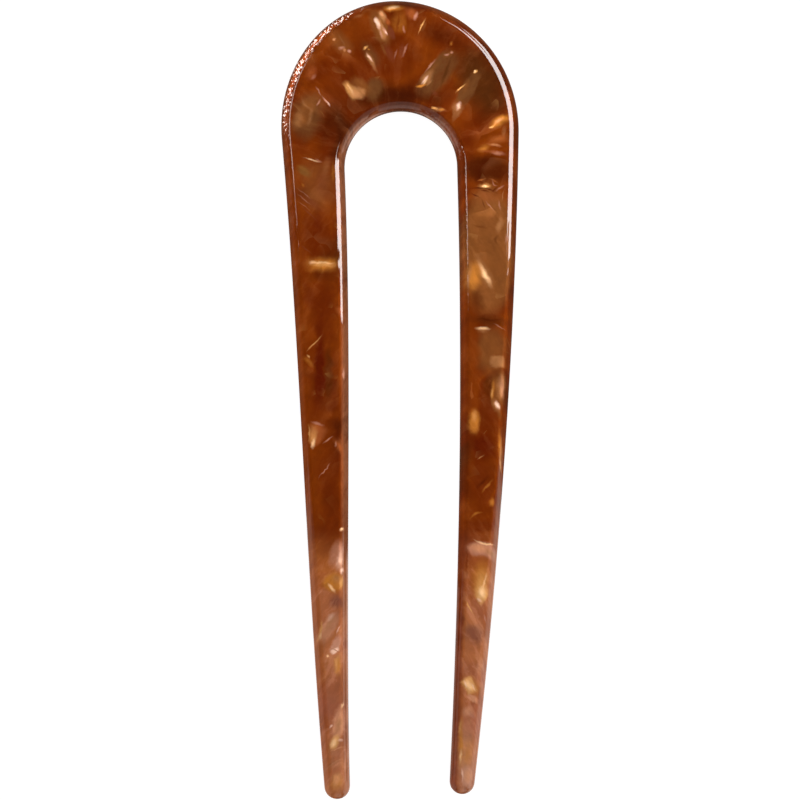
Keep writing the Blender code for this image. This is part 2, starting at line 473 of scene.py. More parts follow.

# The crown's pearl, whose pale gold and rose flakes are partly painted highlights and glints
CROWN_FLAKES = (
    # fan of shards at the top, with a pale gold cap that is partly a painted reflection on the top
    # rim
    patch(394, 8.5, 2, 12, 4.2, HONEY, 0.9, 0.8),
    shard(386, 9.2, 402, 6.6, 2.2, PALE_GOLD, 0.75, 0.9),
    patch(399, 24, 90, 13, 9, HONEY, 0.45, 0.9),
    shard(399, 12, 397, 36, 1.6, RUST, 0.7),
    shard(408, 12, 406, 34, 1.4, RUST, 0.6),
    shard(404, 36, 402.5, 26, 1.7, ROSE, 0.7, fade=0.4),
    patch(380, 28, 112, 20, 9, FAWN, 0.85, 0.5),
    shard(385, 43, 375.5, 17, 3.4, CARAMEL, 0.95, 0.6, square=0.3, taper=0.15),
    shard(379.5, 31, 375, 18.5, 2.4, PALE_ROSE, 0.9, 0.8),
    shard(383, 41, 378, 28, 1.1, ROSE, 0.8),
    shard(387, 24, 378.5, 11, 3.8, CARAMEL, 0.9, 0.7, square=0.3),
    shard(384, 19, 379, 12, 2, SALMON, 0.85, 0.8),
    shard(388, 38, 381.5, 27, 2, ROSE, 0.8, 0.8),
    shard(387.5, 37, 384, 31, 1.1, PALE_ROSE, 0.8),
    shard(394, 43, 388, 26, 3.4, PLUM, 0.85, 0.6),
    shard(386, 18, 391, 28, 2.6, CLAY, 0.8, 0.8),
    shard(384, 44, 394, 66, 5, PLUM, 0.6, 0.9),
    shard(380, 42, 388, 60, 1.8, FAWN, 0.6),
    patch(411, 15, -45, 9, 6, CLAY, 0.75, 0.8),
    patch(415.6, 17.6, 75, 5, 2.4, ROSE, 0.75),
    shard(426, 18, 416, 38, 0.9, GOLD, 0.85),
    shard(427, 21, 420, 35, 2.2, FAWN, 0.5),
    shard(409, 43, 401, 60, 1.5, ROSE, 0.55),
    shard(404, 43, 399, 62, 3.4, PLUM, 0.65),
    shard(397, 50, 393, 62, 1, ROSE, 0.35),
    # speckled patch on the left
    patch(341, 44, -52, 18, 10, FAWN, 0.7, 0.7),
    shard(337, 34, 347, 50, 1.6, CARAMEL, 0.35),
    patch(349, 52.5, -30, 3, 1.8, ROSE, 0.9),
    patch(341.7, 49.5, 20, 4, 2.4, ROSE, 0.55),
    patch(344.6, 51.5, 20, 2.4, 1.6, SALMON, 0.5),
    patch(334, 42, 40, 2.4, 1.6, SALMON, 0.7),
    patch(311.7, 75, 60, 9, 6.5, CLAY, 0.65),
    patch(314, 78, 50, 4, 2.2, ROSE, 0.35),
    patch(358, 17, 20, 6, 2.2, CARAMEL, 0.35),
    # shards left of the middle
    patch(370, 56, -60, 16, 7, BARK, 0.6, 0.8),
    shard(362, 52, 369, 46.5, 1.5, GOLD, 0.8),
    shard(371, 51, 367, 50, 1.2, HONEY, 0.7),
    shard(378, 76, 366, 52, 2.9, CARAMEL, 0.9, 0.8, fade=0.6, taper=0.2),
    shard(373, 64, 366.5, 53.5, 1.3, PALE_ROSE, 0.55),
    # bright plate left of the throat
    patch(373, 90, 70, 13, 9, BARK, 0.9, 0.6),
    patch(358.5, 88, -40, 12, 9, FAWN, 0.85, 0.6, square=0.5),
    shard(343.8, 80.5, 359, 101, 5.2, GOLD, 0.7, 0.7, square=0.5, taper=0.3),
    patch(358, 94.5, -18, 7.5, 6.4, CARAMEL, 0.9, 0.6, square=0.6),
    patch(356.5, 95.5, -40, 6, 4, SALMON, 0.5, 0.9),
    shard(346, 83, 355, 98, 1.6, PALE_GOLD, 0.35),
    # pale plate right of the middle
    patch(437, 75, 50, 27, 11, BARK, 0.95, 0.4, square=0.5),
    patch(445, 82, 52, 20, 5, FAWN, 0.35),
    shard(453, 52, 437, 95, 2, UMBER, 0.75, 0.9, bend=0.6),
    patch(448, 56, 35, 7, 3.4, FAWN, 0.6),
    patch(446, 56, 10, 2.6, 1.6, ROSE, 0.75),
    patch(451, 54, 0, 2.4, 1.5, ROSE, 0.8),
    patch(451, 45, 60, 2.6, 1.6, HONEY, 0.5),
    shard(437, 59, 422, 76, 1.2, ROSE, 0.7),
    shard(440, 62, 424, 80, 2.8, FAWN, 0.6),
    shard(434, 70, 419.5, 87, 5.2, CARAMEL, 0.95, 0.6, fade=0.6, taper=0.25),
    shard(429, 76, 419.5, 86, 1.4, PALE_ROSE, 0.85, 0.9),
    shard(428, 79, 421, 88, 1.3, PALE_GOLD, 0.8),
    shard(433, 79, 425, 89, 1.6, CARAMEL, 0.7),
    patch(421, 86.6, 6, 6, 1.8, HONEY, 0.95, 0.8),
    shard(430, 90, 440, 98, 2.6, PLUM, 0.5),
    # wedge on the right
    shard(478, 71, 458, 108, 6.4, BARK, 0.95, 0.4, square=0.5, taper=0.2),
    shard(470, 76, 461, 98, 2.6, FAWN, 0.5),
    shard(477, 70, 473, 75, 1.7, GOLD, 0.9),
    patch(474.4, 72.4, 60, 1.8, 1, PALE_GOLD, 0.7),
    shard(465.5, 84, 454.5, 95, 1, GOLD, 0.9),
    shard(451, 125, 459.5, 103, 4.8, CARAMEL, 0.95, 0.6, fade=0.7, taper=0.75),
    patch(458.2, 107.6, 65, 5, 2.6, PALE_ROSE, 0.85),
    patch(437.5, 110.5, -12, 8.5, 2.8, CARAMEL, 0.7),
    patch(434, 109, -15, 3.2, 1.5, GOLD, 0.85),
    patch(441, 111.4, -5, 3.6, 1.4, HONEY, 0.75),
    # bright patches by the right rim
    patch(500, 122, 28, 12, 5.5, HONEY, 0.9, 0.8),
    shard(492, 125.5, 504, 119, 2.2, SALMON, 0.85),
    shard(488, 130, 495, 125, 1.4, GOLD, 0.8),
    patch(498, 140, 15, 14, 6, TAN, 0.7),
    shard(486, 144, 504, 148, 1.6, SALMON, 0.5),
    shard(488, 152, 507, 156, 2.4, ROSE, 0.65),
    patch(483, 149, 30, 8, 4.5, HONEY, 0.75),
    patch(503, 132, 80, 6, 2.6, CARAMEL, 0.5),
    # pale swirls by the left rim
    patch(306, 112, 65, 17, 9, FAWN, 0.8, 0.7),
    patch(298, 121, 80, 12, 6, CARAMEL, 0.45),
    shard(299, 98, 313, 114, 2.2, CARAMEL, 0.4, bend=1),
    shard(313, 106, 309, 128, 3, CARAMEL, 0.45),
    shard(315.5, 87, 322, 99, 0.9, ROSE, 0.65),
    shard(321.7, 96.7, 330.6, 108.5, 1.2, ROSE, 0.85),
    shard(326, 102, 330, 108, 0.9, PALE_ROSE, 0.6),
    shard(317, 107.5, 320.5, 99, 1.3, ROSE, 0.55),
    shard(320, 110, 326, 120, 1, FAWN, 0.5),
)

# The left prong's pearl, from the crown down; its pale gold and rose flakes are partly painted
# highlights and glints
LEFT_FLAKES = (
    shard(302, 157.5, 322, 163.4, 1, PALE_GOLD, 0.7),
    shard(314, 159, 323, 164, 1.6, ROSE, 0.45),
    shard(296, 165, 310, 173, 1.8, HONEY, 0.45),
    patch(304, 172, -40, 9, 5, BRONZE, 0.7, 0.7),
    patch(300, 184, -50, 8, 4, AMBER, 0.7),
    patch(303, 186, -50, 3, 1.6, HONEY, 0.45),
    patch(323, 184, 88, 17, 9, PLUM, 0.55),
    shard(333, 160, 334, 186, 2.2, HONEY, 0.45),
    patch(312, 203, -38, 14, 5, PLUM, 0.5),
    shard(298, 205, 322, 224, 0.9, PLUM, 0.6),
    patch(318, 222, 85, 16, 6, WINE, 0.5),
    shard(330, 214, 333, 246, 2.4, AMBER, 0.6),
    shard(300, 245, 314, 256, 1.2, PLUM, 0.5),
    patch(327, 168, 80, 12, 5, CARAMEL, 0.25),
    shard(296, 188, 313, 201, 0.8, ROSE, 0.4),
    shard(295, 194, 313, 207, 0.8, ROSE, 0.4),
    shard(296, 201, 311, 212, 0.8, ROSE, 0.3),
    patch(323, 265, 0, 19, 9, HONEY, 0.85, 0.9, square=0.5),
    shard(341, 266, 305, 262, 3.6, GOLD, 0.85, square=0.5),
    shard(336, 264.6, 308, 261.6, 1.4, PALE_GOLD, 0.6),
    patch(312, 262, 10, 4, 2.2, PALE_GOLD, 0.45),
    shard(334, 309, 346, 312, 5, CLAY, 0.7, 0.8),
    shard(305.5, 353, 323, 334, 0.9, GOLD, 0.85, fade=0.3),
    patch(309, 361, -50, 8, 3, HONEY, 0.55),
    shard(306, 353, 310, 358, 1.3, GOLD, 0.8),
    patch(345, 373, 90, 6, 2.4, ROSE, 0.85, 0.8),
    shard(321, 423, 313, 446, 7.5, CLAY, 0.9, 0.5, square=0.4, taper=-0.5),
    shard(314, 422, 313.5, 448, 4.6, GOLD, 0.7, 0.8, fade=0.7, taper=-0.3),
    patch(313.8, 443, 75, 6, 2.4, PALE_GOLD, 0.9),
    shard(309.5, 422, 309.5, 441, 1, GOLD, 0.7),
    shard(310, 421, 325, 426, 1.6, ROSE, 0.5),
    shard(321, 443.5, 335, 435, 1, ROSE, 0.75),
    patch(339, 446, -60, 11, 4, CLAY, 0.7),
    patch(335.5, 444, 75, 4, 1.3, ROSE, 0.6),
    shard(318, 479, 331.6, 460.5, 0.8, ROSE, 0.65),
    patch(343.5, 470, 90, 60, 2, CLAY, 0.6),
    patch(328, 500, 88, 34, 11, RUST, 0.35),
    patch(343, 527, 40, 4, 2, PALE_GOLD, 0.7),
    shard(332, 568, 341, 536, 7, ROSE, 0.6, 0.6, square=0.3),
    patch(340, 552, 75, 12, 4, ROSE, 0.6),
    patch(341, 558, 78, 14, 4.5, PALE_ROSE, 0.45, 0.9),
    shard(338, 560, 344, 571, 2.4, ROSE, 0.75),
    patch(343, 568.6, 70, 4.5, 2.2, PALE_ROSE, 0.9),
    patch(334, 580.5, 8, 11.5, 10, HONEY, 0.85, 0.5),
    patch(337, 577, 8, 6, 5, CARAMEL, 0.5),
    patch(342, 580, 80, 8, 2.6, GOLD, 0.85),
    shard(328, 581, 336, 592, 1.8, PALE_GOLD, 0.8),
    shard(338, 609, 320, 643, 6.8, PEACH, 0.85, 0.5),
    shard(334, 612, 323, 634, 3, CARAMEL, 0.55),
    patch(331, 616, 50, 6, 2.2, PALE_ROSE, 0.4),
    shard(323, 616, 320.5, 641, 1.6, GOLD, 0.9, bend=-1.5),
    patch(321.4, 634, 80, 4, 1.6, PALE_GOLD, 0.7),
    shard(340, 632, 331.5, 652, 4, ROSE, 0.85, 0.5, square=0.6, fade=0.5),
    patch(334.5, 649, 30, 4.4, 3, PALE_ROSE, 0.85, 0.7, square=0.5),
    shard(330, 645, 341, 653, 0.8, CLAY, 0.7),
    shard(337, 632, 341, 622, 0.9, PALE_ROSE, 0.5),
    patch(328.6, 655, 0, 1.4, 1.4, PALE_GOLD, 0.8),
    shard(338.5, 651, 337, 676, 4.4, HONEY, 0.85, 0.8),
    patch(337, 662, 85, 9, 2.2, GOLD, 0.5),
    shard(341, 708, 345, 697, 1.7, PALE_GOLD, 0.9),
    shard(342, 700, 335, 742, 6, PEACH, 0.75, 0.5),
    patch(339, 722, 75, 13, 4.5, CARAMEL, 0.6),
    shard(340, 730, 331.5, 747, 4, GOLD, 0.8, 0.8, fade=0.4),
    patch(334, 741, 65, 8, 5, GOLD, 0.85, 0.6),
    patch(333.5, 741, 60, 5.5, 3.2, PALE_GOLD, 0.9),
    patch(340.5, 738, 20, 4, 1.8, PALE_ROSE, 0.6),
    patch(331, 724, 45, 3, 1.6, PALE_ROSE, 0.7),
    shard(328, 751, 348, 741.5, 0.9, SALMON, 0.6),
    patch(334, 757, 12, 10, 5, CLAY, 0.6),
    shard(325, 766, 345, 755, 1.3, SALMON, 0.6),
    patch(335, 761, 25, 10, 3, RUST, 0.4),
    patch(334, 769, 20, 12, 6, CLAY, 0.6, 0.9),
    patch(336.5, 780, 75, 11, 7, HONEY, 0.75, 0.8),
    patch(337, 777, 70, 8, 4.5, SALMON, 0.6, 0.9),
)

# The right prong's pearl, from the crown down; its pale gold and rose flakes are partly painted
# highlights and glints
RIGHT_FLAKES = (
    shard(473, 151, 503, 153, 2.2, CLAY, 0.6),
    shard(466, 186.5, 500, 190.5, 1.3, DEEP, 0.95, bend=-3),
    shard(494, 192, 505, 185, 0.9, ROSE, 0.6),
    shard(475, 181.5, 487, 179.5, 0.9, TAN, 0.7),
    shard(487, 179.5, 498, 184, 0.9, TAN, 0.6),
    patch(484.5, 186.6, -4, 8, 2.6, GOLD, 0.7),
    patch(484, 186.4, -4, 4, 1.3, PALE_GOLD, 0.7),
    shard(489, 182, 496, 189, 0.8, ROSE, 0.6, bend=3),
    shard(479, 190.5, 491, 193.5, 0.9, DEEP, 0.9),
    shard(490, 193, 498, 187, 0.9, DEEP, 0.7),
    shard(469, 193, 481, 200, 0.9, DEEP, 0.8),
    shard(480, 199, 485, 210, 0.8, UMBER, 0.7),
    shard(496, 234, 494, 246, 2, UMBER, 0.6, bend=1.5),
    patch(506, 239, 80, 6, 2.4, ROSE, 0.4),
    shard(504, 188, 501, 204, 0.8, CARAMEL, 0.7),
    shard(484, 200, 494, 212, 0.8, ROSE, 0.4),
    shard(497, 200, 500, 212, 1, ROSE, 0.4),
    patch(499, 226, 75, 10, 4, CARAMEL, 0.7),
    shard(469, 226, 490, 230, 1.4, COCOA, 0.5, bend=2),
    shard(473, 252, 492, 290, 6, CARAMEL, 0.95, 0.8, fade=0.6, taper=0.35),
    shard(476, 258, 490.5, 287, 3.2, PALE_GOLD, 0.85, fade=0.6, taper=0.3),
    shard(476, 258, 470, 296, 9, HONEY, 0.75, 0.8),
    shard(470, 262, 466, 290, 3, CARAMEL, 0.5),
    shard(472, 318, 503, 320, 1.4, DEEP, 0.6),
    shard(473, 328.8, 491.5, 328.6, 1.8, PALE_GOLD, 0.9),
    shard(474, 330.5, 490, 330.5, 3, CARAMEL, 0.6),
    shard(492, 322, 506, 331, 0.9, ROSE, 0.5),
    patch(497, 361, 0, 8, 6, CARAMEL, 0.75, 0.5, square=0.7),
    patch(498, 389, 84, 23, 9.5, FAWN, 0.9, 0.8),
    patch(501, 385, 85, 15, 5.5, CARAMEL, 0.7, 0.8),
    patch(501.5, 386, -84, 12, 3.6, ROSE, 0.5),
    shard(493, 376, 490.5, 404, 2.2, HONEY, 0.7),
    shard(492, 384, 491, 400, 1.2, GOLD, 0.55),
    shard(498, 406, 500, 421, 3, FAWN, 0.7),
    patch(495.5, 405, -70, 8, 5, CARAMEL, 0.8),
    patch(496.5, 404.5, -70, 4.5, 3, PALE_ROSE, 0.95),
    patch(473.5, 421, 88, 14, 6.5, HONEY, 0.85, 0.7),
    patch(473.5, 415, 85, 7, 3.4, GOLD, 0.45),
    patch(480, 470, 88, 32, 14, RUST, 0.6, 0.9),
    patch(470, 470, 88, 34, 6, AMBER, 0.55),
    shard(499, 424, 502, 470, 3.4, HONEY, 0.9, fade=0.3),
    patch(501.2, 462, -82, 8, 1.4, GOLD, 0.7),
    shard(476, 459, 484.6, 453.4, 0.9, CARAMEL, 0.75),
    shard(474, 490, 490, 473, 2.2, DEEP, 0.6),
    shard(480, 494, 494, 477, 1.6, HONEY, 0.5),
    shard(486, 508, 496, 486, 1.8, AMBER, 0.8),
    patch(491.4, 501.4, 80, 5, 2.6, HONEY, 0.7),
    shard(467, 517, 482, 508.5, 1.4, HONEY, 0.5, bend=-2),
    patch(483, 549, -12, 17, 8.5, ROSE, 0.7, 0.5),
    patch(478, 547, -10, 11, 5, SALMON, 0.45, 0.9),
    patch(490, 551, -10, 8, 5, CARAMEL, 0.6, 0.9),
    shard(470, 541, 497, 545.6, 1.3, PALE_GOLD, 0.85, bend=3),
    patch(481, 561, -2, 11, 7, CLAY, 0.9, 0.5),
    shard(466, 540, 466, 582, 1.2, RUST, 0.7),
    patch(480, 576, 80, 20, 10, HONEY, 0.7, 0.8),
    patch(480, 584, 85, 16, 7.5, GOLD, 0.65, 0.9),
    shard(481, 583, 480.5, 606, 6.5, GOLD, 0.85, 0.7, fade=-0.6, taper=-0.9),
    patch(480.5, 591, 80, 7, 4.2, PALE_GOLD, 0.9),
    shard(476, 596, 481, 601, 1.4, PALE_ROSE, 0.7),
    shard(486, 570, 482, 590, 1.2, PALE_GOLD, 0.5),
    shard(464.5, 598, 473.5, 614, 0.9, GOLD, 0.85),
    shard(484, 612, 487, 621, 1.1, ROSE, 0.8),
    patch(480, 664, 75, 10, 5, PEACH, 0.7),
    patch(471.5, 684, -50, 12, 9, HONEY, 0.6, 0.8, square=0.5),
    patch(468.7, 683.5, -62, 8.4, 5.4, GOLD, 0.95, 0.4, square=0.85),
    patch(468.4, 684, -62, 6.6, 3.4, PALE_GOLD, 0.6, 0.7, square=0.5),
    shard(463.5, 677, 466, 688, 1.2, PALE_ROSE, 0.6),
    shard(470.5, 680, 475.5, 690, 1.3, PALE_ROSE, 0.6),
    shard(466, 693, 479, 700, 3, PEACH, 0.85, 0.6, square=0.5),
    patch(466.5, 709, 35, 8, 6, PEACH, 0.8),
    patch(471, 712, -40, 6, 3, ROSE, 0.4),
    shard(461.5, 710, 459.8, 772, 2.8, HONEY, 0.95, 0.8),
    patch(460.2, 724, 88, 9, 1.4, GOLD, 0.8),
    patch(460.2, 754, 88, 9, 1.5, PALE_GOLD, 0.7),
    patch(466, 752, 85, 18, 7, HONEY, 0.75),
    patch(467, 774, 88, 11, 6, ROSE, 0.9, 0.5, square=0.4),
    patch(467, 773, 88, 9, 5, SALMON, 0.45, 0.8),
    shard(461, 764, 461.5, 780, 1.3, PALE_ROSE, 0.7),
    shard(472, 764, 472.5, 780, 1, SALMON, 0.5),
)


class Nodes:
    """Adds nodes to a tree. What goes into a socket is another node's output or a fixed value."""

    def __init__(self, tree):
        self.tree = tree

    def feed(self, socket, value):
        if isinstance(value, bpy.types.NodeSocket):
            self.tree.links.new(value, socket)
        else:
            socket.default_value = value

    def add(self, kind, sockets=(), **settings):
        node = self.tree.nodes.new("ShaderNode" + kind)
        for name, value in settings.items():
            setattr(node, name, value)
        for name, value in dict(sockets).items():
            self.feed(node.inputs[name], value)
        return node

    def maths(self, operation, *values):
        node = self.add("Math", operation=operation)
        for socket, value in zip(node.inputs, values):
            self.feed(socket, value)
        return node.outputs["Value"]

    def product(self, first, *others):
        """Numbers multiplied together."""
        for other in others:
            first = self.maths("MULTIPLY", first, other)
        return first

    def vectors(self, operation, *values):
        node = self.add("VectorMath", operation=operation)
        for socket, value in zip(node.inputs, values):
            self.feed(socket, value)
        return node.outputs["Value" if operation in ("DOT_PRODUCT", "LENGTH") else "Vector"]

    def along(self, vector, way):
        """How far a vector reaches in a direction."""
        return self.vectors("DOT_PRODUCT", vector, way)

    def centred(self, colour):
        """A random colour as a vector that leans any way."""
        return self.vectors("SUBTRACT", colour, (0.5, 0.5, 0.5))

    def scaled(self, vector, factor):
        node = self.add("VectorMath", {"Vector": vector, "Scale": factor}, operation="SCALE")
        return node.outputs["Vector"]

    def facing(self):
        """The way that the surface faces."""
        return self.add("NewGeometry").outputs["Normal"]

    def joined(self, x, y, z):
        return self.add("CombineXYZ", {"X": x, "Y": y, "Z": z}).outputs["Vector"]

    def span(self, value, low, high, to_low=0.0, to_high=1.0, smooth=True):
        """The value's way from low to high, carried over to the second range and never past it. It
        eases in and out, or runs straight where smooth is off."""
        way = "SMOOTHSTEP" if smooth else "LINEAR"
        sockets = {"Value": value, "From Min": low, "From Max": high}
        sockets |= {"To Min": to_low, "To Max": to_high}
        node = self.add("MapRange", sockets, interpolation_type=way, clamp=not smooth)
        return node.outputs["Result"]

    def noise(self, place, scale, detail=2.0, roughness=0.5):
        sockets = {"Vector": place, "Scale": scale, "Detail": detail, "Roughness": roughness}
        return self.add("TexNoise", sockets)

    def cells(self, place, size):
        """Cells of about this size: each one's own colour, and the way from its middle."""
        node = self.add("TexVoronoi", {"Vector": place, "Scale": 1.0 / size})
        away = self.vectors("SUBTRACT", place, node.outputs["Position"])
        return node.outputs["Color"], self.scaled(away, 1.0 / size)

    def layered(self, share, below, above):
        """One colour over another, by the share that the upper one has."""
        node = self.add("Mix", data_type="RGBA")
        node.clamp_factor = True
        for number, value in ((0, share), (6, below), (7, above)):
            self.feed(node.inputs[number], value)
        return node.outputs[2]

    def blended(self, share, low, high):
        """A number between two others, by its share of the second."""
        node = self.add("Mix", data_type="FLOAT")
        for number, value in ((0, share), (2, low), (3, high)):
            self.feed(node.inputs[number], value)
        return node.outputs[0]

    def ramp(self, value, stops):
        """A colour for each value, from stops of a value and a linear colour."""
        node = self.add("ValToRGB", {"Fac": value})
        elements = node.color_ramp.elements
        for i, (position, colour) in enumerate(stops):
            element = elements[i] if i < 2 else elements.new(position)
            element.position = position
            element.color = (*colour, 1.0)
        return node.outputs["Color"]


FLAKE_NUMBERS = ("Strength", "Soft", "Fade", "Square", "Taper", "Bend")


def flake_group():
    """One flake, laid over the colour so far."""
    group = bpy.data.node_groups.new("pearl_flake", "ShaderNodeTree")
    sockets = [("Place", "Vector"), ("Colour", "Color"), ("Tint", "Color"), ("Grain", "Float")]
    sockets += [(name, "Float") for name in FLAKE_NUMBERS]
    sockets += [("Middle", "Vector"), ("Along", "Vector"), ("Across", "Vector")]
    for name, kind in sockets:
        group.interface.new_socket(name, in_out="INPUT", socket_type="NodeSocket" + kind)
    group.interface.new_socket("Colour", in_out="OUTPUT", socket_type="NodeSocketColor")
    n = Nodes(group)
    given = group.nodes.new("NodeGroupInput").outputs
    away = n.vectors("SUBTRACT", given["Place"], given["Middle"])
    along = n.along(away, given["Along"])
    bow = n.product(along, along, given["Bend"])
    across = n.maths("SUBTRACT", n.along(away, given["Across"]), bow)
    width = n.maths("ADD", n.product(along, given["Taper"]), 1.0)
    across = n.maths("DIVIDE", across, n.maths("MAXIMUM", width, LEAST_WIDTH))
    rounded = n.vectors("LENGTH", n.joined(along, across, 0.0))
    boxy = n.maths("MAXIMUM", n.maths("ABSOLUTE", along), n.maths("ABSOLUTE", across))
    reach = n.blended(given["Square"], rounded, boxy)
    inner = n.maths("SUBTRACT", 1.0, given["Soft"])
    inside = n.span(reach, 1.0, inner)
    dimness = n.span(along, 1.0, -1.0)
    lit = n.maths("SUBTRACT", 1.0, n.product(dimness, given["Fade"]))
    share = n.product(inside, lit, given["Strength"], given["Grain"])
    result = group.nodes.new("NodeGroupOutput").inputs
    n.feed(result["Colour"], n.layered(share, given["Colour"], given["Tint"]))
    return group


def lay_flakes(n, flakes, group, place, grain, colour):
    """A table's flakes over the colour so far."""
    for flake in flakes:
        node = n.add("Group", node_tree=group)
        values = {"Place": place, "Grain": grain, "Colour": colour, "Tint": (*flake.tint, 1.0)}
        values |= {name: getattr(flake, name.lower()) for name in FLAKE_NUMBERS}
        angle = math.radians(flake.angle)
        turn = Vector((math.cos(angle), math.sin(angle)))
        values |= {"Middle": (flake.x, flake.y, 0.0), "Along": (*(turn / flake.long), 0.0)}
        values |= {"Across": (*(turn.orthogonal() / flake.wide), 0.0)}
        for name, value in values.items():
            n.feed(node.inputs[name], value)
        colour = node.outputs["Colour"]
    return colour


def stirred_base(n, flow, lower):
    """The acetate's ground colour: brown and amber, stirred together in slow swirls. Lower is the
    share of a paler ground colour that the lower prongs get."""
    share = n.noise(flow, SWIRL_SCALE, 1.5, 0.4).outputs["Fac"]
    stops = ((0.30, DEEP), (0.42, RUST), (0.54, AMBER), (0.64, RUST), (0.74, COCOA))
    upper = n.ramp(share, stops)
    paler = n.ramp(share, ((0.30, CLAY), (0.45, TAN), (0.55, CLAY), (0.70, ROSY_TAN)))
    return n.layered(lower, upper, paler)


def pearl_plates(n, flow, strength, colour):
    """Broad plates of pearl, each with a painted sheen that brightens it towards one edge, as light
    on a creased film does. Returns the new colour, how much of it is plate, and how each plate
    leans."""
    own, away = n.cells(flow, PLATE_SIZE)
    leaning = n.centred(own)
    painted_sheen = n.span(n.along(away, leaning), -0.30, 0.38)
    patches = n.span(n.noise(flow, PLATE_PATCH_SCALE, 1.0).outputs["Fac"], 0.45, 0.62)
    share = n.product(painted_sheen, patches, strength)
    tint = n.ramp(painted_sheen, ((0.0, COCOA), (0.6, FAWN), (1.0, CARAMEL)))
    return n.layered(share, colour, tint), share, leaning


def painted_pearl_glints(n, flow, strength, colour):
    """Small bright scales among the plates: painted glints of the pearl."""
    own, away = n.cells(flow, GLINT_SIZE)
    slope = n.along(away, n.centred(own))
    picked = n.span(n.add("SeparateColor", {"Color": own}).outputs["Blue"], 0.80, 0.86)
    patches = n.span(n.noise(flow, GLINT_PATCH_SCALE, 1.0).outputs["Fac"], 0.50, 0.60)
    share = n.product(n.span(slope, 0.0, 0.35), picked, patches, strength)
    return n.layered(share, colour, (*GOLD, 1.0))


def pearl_silk(n, place):
    """Fine streaks through the pearl, from 0 to 1. In the crown they fan out round the throat, and
    in the prongs they slope up towards the gap."""
    across = n.along(place, RIGHTWARDS)
    up = n.along(place, CROWNWARDS)
    deep = n.along(place, FRONTWARDS)
    rise = n.maths("SUBTRACT", up, (LENGTH / 2 - THROAT_DROP) * MM_PER_METRE)
    turn = n.product(n.maths("ARCTAN2", across, rise), FAN_SPREAD)
    reach = n.product(n.vectors("LENGTH", n.joined(across, rise, 0.0)), FAN_STRETCH)
    fan = n.noise(n.joined(turn, reach, deep), FAN_SCALE, 3.0, 0.65).outputs["Fac"]
    mirrored = n.joined(n.maths("ABSOLUTE", across), up, 0.0)
    crosswise = n.along(mirrored, ACROSS_SILK)
    lengthwise = n.along(mirrored, ALONG_SILK)
    side = n.maths("ADD", n.product(n.maths("SIGN", across), SIDES_APART), deep)
    slope = n.noise(n.joined(crosswise, lengthwise, side), SILK_SCALE, 3.0, 0.65).outputs["Fac"]
    streaks = n.blended(n.span(up, *CROWN_FROM), slope, fan)
    return n.span(streaks, 0.32, 0.68, smooth=False)


def painted_pearl_sheen(n, lower, silk, colour):
    """Paler streaks, a painted sheen where the pearl is brushed one way, nearly all of them in the
    lower prongs.
    """
    tint = n.layered(lower, (*CARAMEL, 1.0), (*PEACH, 1.0))
    most = n.blended(lower, UPPER_SHEEN, LOWER_SHEEN)
    return n.layered(n.product(n.span(silk, 0.45, 1.0), most), colour, tint)


def painted_rim_glow_and_shade(n, place, lower, silk, colour):
    """The rims get a painted glow, which stands in for light that gathers in the clear acetate
    there.
    They are paler on the left prong, most of all towards the gap, and at the crown's top and the
    throat.
    On the lower prongs the rims that face left get painted shade, darker towards rust."""
    facing = n.facing()
    sideways = n.along(facing, RIGHTWARDS)
    lengthwise = n.along(facing, CROWNWARDS)
    on_left = n.span(n.along(place, RIGHTWARDS), *LEFT_HALF_FROM)
    # painted shade on the lower prongs' rims that face left, laid on in rust
    dark = n.span(sideways, -0.1, -0.6, 0.0, LOW_RIM_SHADE)
    dark = n.product(dark, lower, n.blended(on_left, 1.0, LEFT_PRONG_SHADE))
    colour = n.layered(dark, colour, (*RUST, 1.0))
    # painted glow of light in the clear acetate, laid on the rims as a paler tint
    towards_gap = n.span(sideways, 0.15, 0.65, 0.0, GAP_RIM_GLOW)
    outwards = n.span(sideways, -0.3, -0.8, 0.0, OUTER_RIM_GLOW)
    upper = n.span(n.along(place, CROWNWARDS), *GLOW_FROM, LOWER_GLOW, 1.0)
    beside = n.product(n.maths("ADD", towards_gap, outwards), on_left)
    at_top = n.span(lengthwise, 0.4, 0.9, 0.0, TOP_RIM_GLOW)
    at_throat = n.span(lengthwise, -0.3, -0.8, 0.0, THROAT_RIM_GLOW)
    where = n.product(upper, n.span(silk, -0.4, 0.7))
    share = n.product(n.maths("ADD", beside, n.maths("ADD", at_top, at_throat)), where)
    return n.layered(share, colour, (*GLOW, 1.0))


